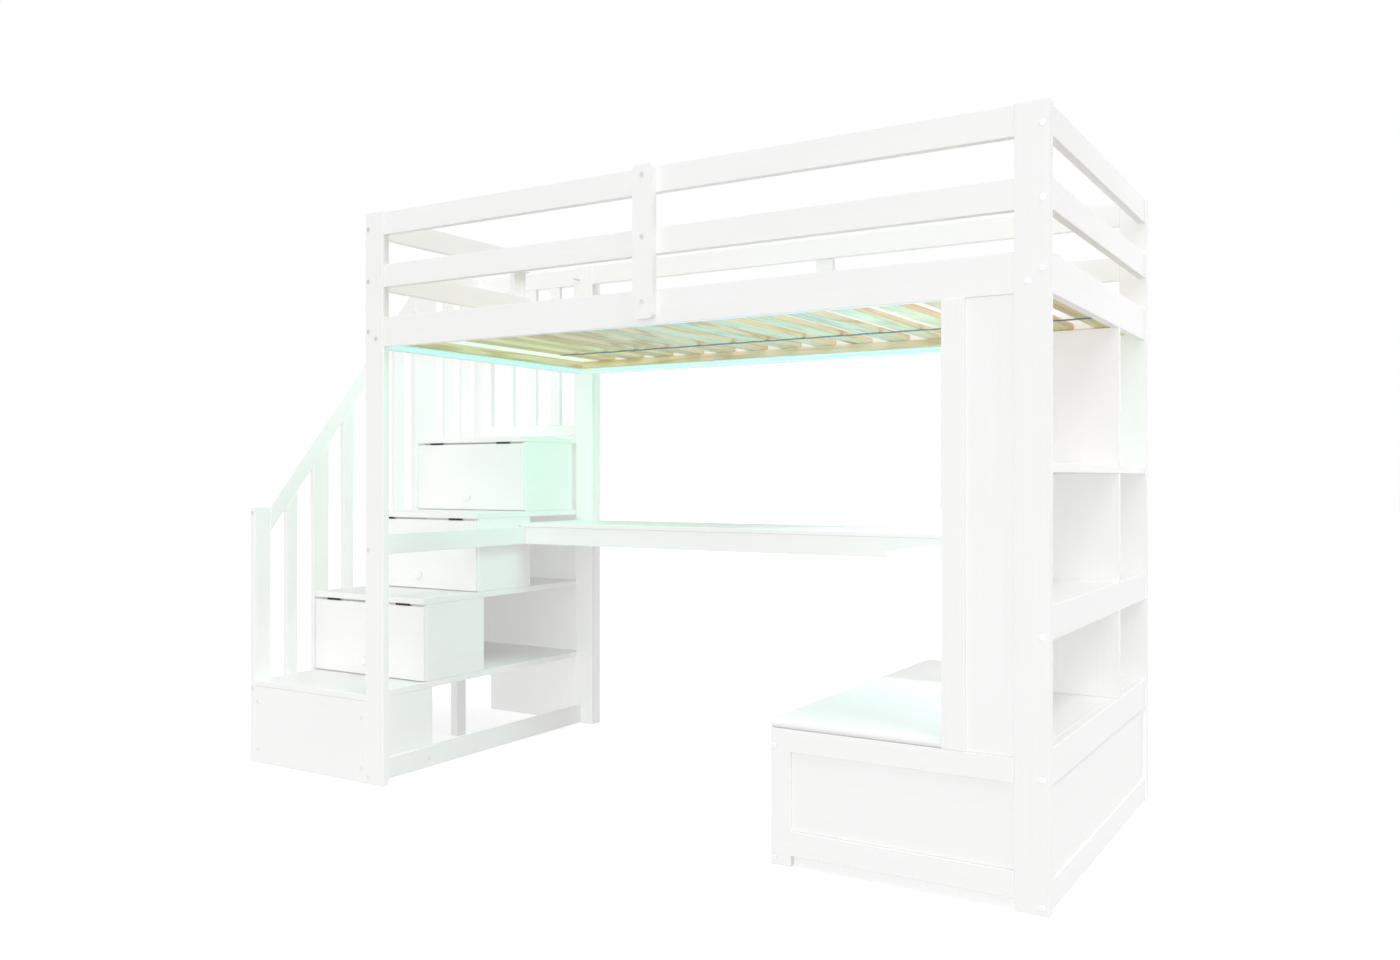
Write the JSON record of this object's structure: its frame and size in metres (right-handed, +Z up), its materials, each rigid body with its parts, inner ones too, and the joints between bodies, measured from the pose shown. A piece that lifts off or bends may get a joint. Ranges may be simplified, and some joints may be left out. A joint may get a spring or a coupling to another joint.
{
  "type": "loft bed with desk",
  "caption": "Loft bed with a desk and a bench under it, a bookcase at one end, and a storage stair with flap doors and a railing at the other.",
  "frame": {"origin": "on the floor, at the middle of the footprint", "axes": "+X along the bed towards the bookcase, +Y towards the back, +Z up"},
  "size_m": [2.553, 1.0908, 1.7],
  "materials": {
    "white_paint": "satin paint",
    "pine": "bare planed",
    "steel": "plated",
    "webbing": "woven",
    "light_strip": "lit, blue-green"
  },
  "bodies": {
    "bed": {"post_front_left": "white_paint", "post_front_right": "white_paint", "post_back_left": "white_paint", "post_back_right": "white_paint", "side_rail_front": "white_paint", "side_rail_back": "white_paint", "side_rail_left": "white_paint", "side_rail_right": "white_paint", "guards_front": "white_paint", "guards_back": "white_paint", "guards_left": "white_paint", "guards_right": "white_paint", "guard_uprights": "white_paint", "foot_rail_left": "white_paint", "slat_ledgers": "pine", "slats": "pine", "slat_webbing": "webbing", "light_strips": "light_strip", "desk_top": "white_paint", "desk_rail_left": "white_paint", "desk_aprons": "white_paint", "desk_cleat": "white_paint", "bench_seat": "white_paint", "bench_front_frame": "white_paint", "bench_back_frame": "white_paint", "bench_panels": "white_paint", "bench_side": "white_paint", "bench_bearer": "white_paint", "end_low_rails": "white_paint", "end_low_panel": "white_paint", "case_bottom": "white_paint", "case_stiles": "white_paint", "case_side_panels": "white_paint", "case_back": "white_paint", "case_divider": "white_paint", "case_shelf_lower": "white_paint", "case_shelf_upper": "white_paint", "case_shelf_aprons": "white_paint", "step_decks": "white_paint", "step_front": "white_paint", "step_sides_right": "white_paint", "step_sides_left": "white_paint", "step_backs": "white_paint", "tower_back": "white_paint", "tower_leg": "white_paint", "tread_leaves": "steel", "newel_posts": "white_paint", "handrail": "white_paint", "balusters": "white_paint", "landing_rails": "white_paint", "bolts": "steel"},
    "flap_2": {"flap_2": "white_paint", "knob_2": "white_paint", "flap_leaves_2": "steel"},
    "flap_3": {"flap_3": "white_paint", "knob_3": "white_paint", "flap_leaves_3": "steel"},
    "flap_4": {"flap_4": "white_paint", "knob_4": "white_paint", "flap_leaves_4": "steel"}
  },
  "joints": [
    {"name": "flap_2_hinge", "type": "hinge", "parent": "bed", "child": "flap_2", "pos_m": [-0.999, -0.2876, 0.507], "axis": [-1, 0, 0], "range_deg": [0, 90]},
    {"name": "flap_3_hinge", "type": "hinge", "parent": "bed", "child": "flap_3", "pos_m": [-0.999, -0.0476, 0.772], "axis": [-1, 0, 0], "range_deg": [0, 90]},
    {"name": "flap_4_hinge", "type": "hinge", "parent": "bed", "child": "flap_4", "pos_m": [-0.999, 0.1924, 1.037], "axis": [-1, 0, 0], "range_deg": [0, 90]}
  ]
}
